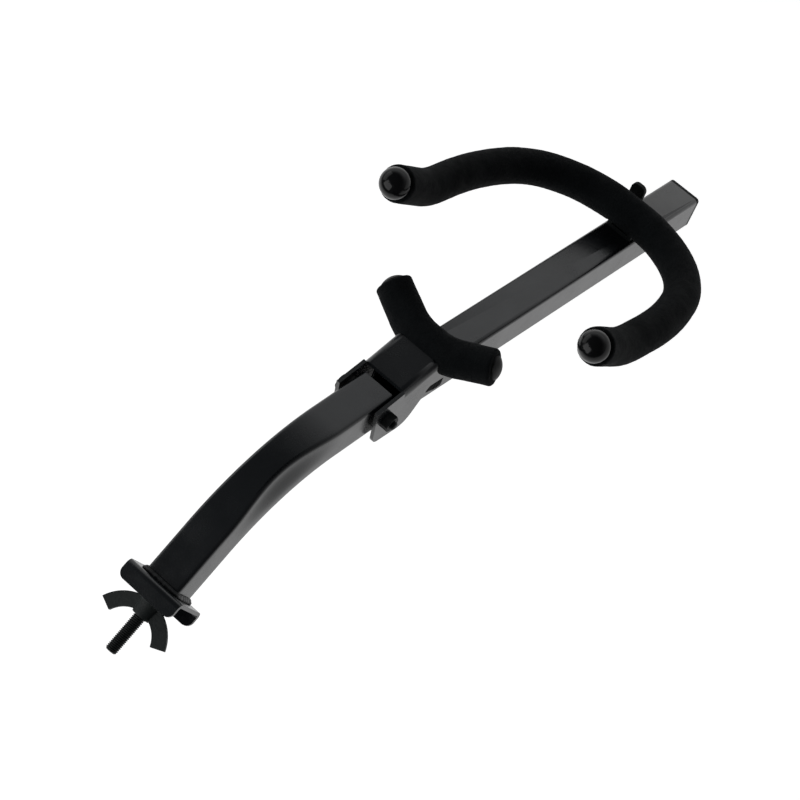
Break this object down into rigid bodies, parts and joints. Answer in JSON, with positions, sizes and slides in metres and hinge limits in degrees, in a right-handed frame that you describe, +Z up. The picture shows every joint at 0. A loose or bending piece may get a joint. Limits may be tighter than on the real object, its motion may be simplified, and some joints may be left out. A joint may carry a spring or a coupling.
{
  "type": "wall guitar hanger",
  "caption": "Folding wall hanger arm for a guitar: bent square tube on a channel foot with wing-nut stud, hinged to a straight arm with foam yoke and rest bar.",
  "frame": {"origin": "middle of the foot channel's seat, on the stud's axis", "axes": "+X out from the wall along the stud and the foot of the arm, +Z up, Y across the arm"},
  "size_m": [0.461, 0.1872, 0.3244],
  "materials": {
    "frame_paint": "satin",
    "zinc_steel": "satin",
    "fastener_black": "satin",
    "washer_nylon": "matte",
    "foam": "matte",
    "cap_gloss": "gloss",
    "plug_plastic": "matte"
  },
  "bodies": {
    "lower_arm": {"lower_arm_tube": "frame_paint", "end_channel": "frame_paint", "channel_weld": "frame_paint", "mount_stud": "zinc_steel", "hinge_sleeve": "zinc_steel"},
    "nut_carrier": {"stud_washer": "zinc_steel"},
    "wing": {"wing_nut": "fastener_black"},
    "straight_arm": {"friction_washer_left": "washer_nylon", "friction_washer_right": "washer_nylon", "hinge_bolt": "fastener_black", "hinge_nut": "fastener_black", "hinge_bracket": "frame_paint", "bracket_weld_left": "frame_paint", "bracket_weld_right": "frame_paint", "upper_arm_tube": "frame_paint", "upper_end_plug": "plug_plastic", "yoke_saddle": "frame_paint", "yoke_rod": "frame_paint", "yoke_foam": "foam", "yoke_cap_left": "cap_gloss", "yoke_cap_right": "cap_gloss", "rest_rod": "frame_paint", "rest_foam": "foam", "rest_cap_left": "cap_gloss", "rest_cap_right": "cap_gloss"}
  },
  "joints": [
    {"name": "fold", "type": "hinge", "parent": "lower_arm", "child": "straight_arm", "pos_m": [0.15885, 0, -0.058], "axis": [0, 1, 0], "range_deg": [0, 100]},
    {"name": "nut_travel", "type": "slide", "parent": "lower_arm", "child": "nut_carrier", "axis": [1, 0, 0], "range_m": [-0.009, 0.003]},
    {"name": "nut_spin", "type": "hinge", "parent": "nut_carrier", "child": "wing", "pos_m": [-0.02, 0, 0], "axis": [1, 0, 0], "range_deg": [-2592, 864]}
  ],
  "couplings": [
    {"joint": "nut_travel", "follows": "nut_spin", "m_per_rad": 0.00019894}
  ]
}
